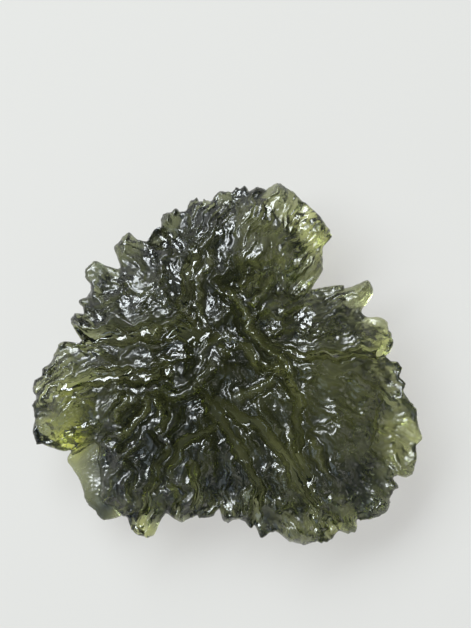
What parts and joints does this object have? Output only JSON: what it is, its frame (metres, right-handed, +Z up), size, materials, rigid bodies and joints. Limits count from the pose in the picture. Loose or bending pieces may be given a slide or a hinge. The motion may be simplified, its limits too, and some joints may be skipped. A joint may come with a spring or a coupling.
{
  "type": "moldavite",
  "caption": "Raw natural glass stone, a flat lump with a jagged rim, deep flow grooves, thin fins and etched pits.",
  "frame": {"origin": "middle of the bounding box in plan, on the ground that the stone rests on", "axes": "+X across the stone at its widest, +Y towards the lobe opposite the toothed edge, +Z up out of the sculpted face"},
  "size_m": [0.032, 0.0296, 0.0087],
  "materials": {
    "green_glass": "etched natural glass, dark olive green where thick and yellow-green at thin edges, with small sharp glints"
  },
  "bodies": {
    "root": {"moldavite": "green_glass"}
  },
  "joints": []
}
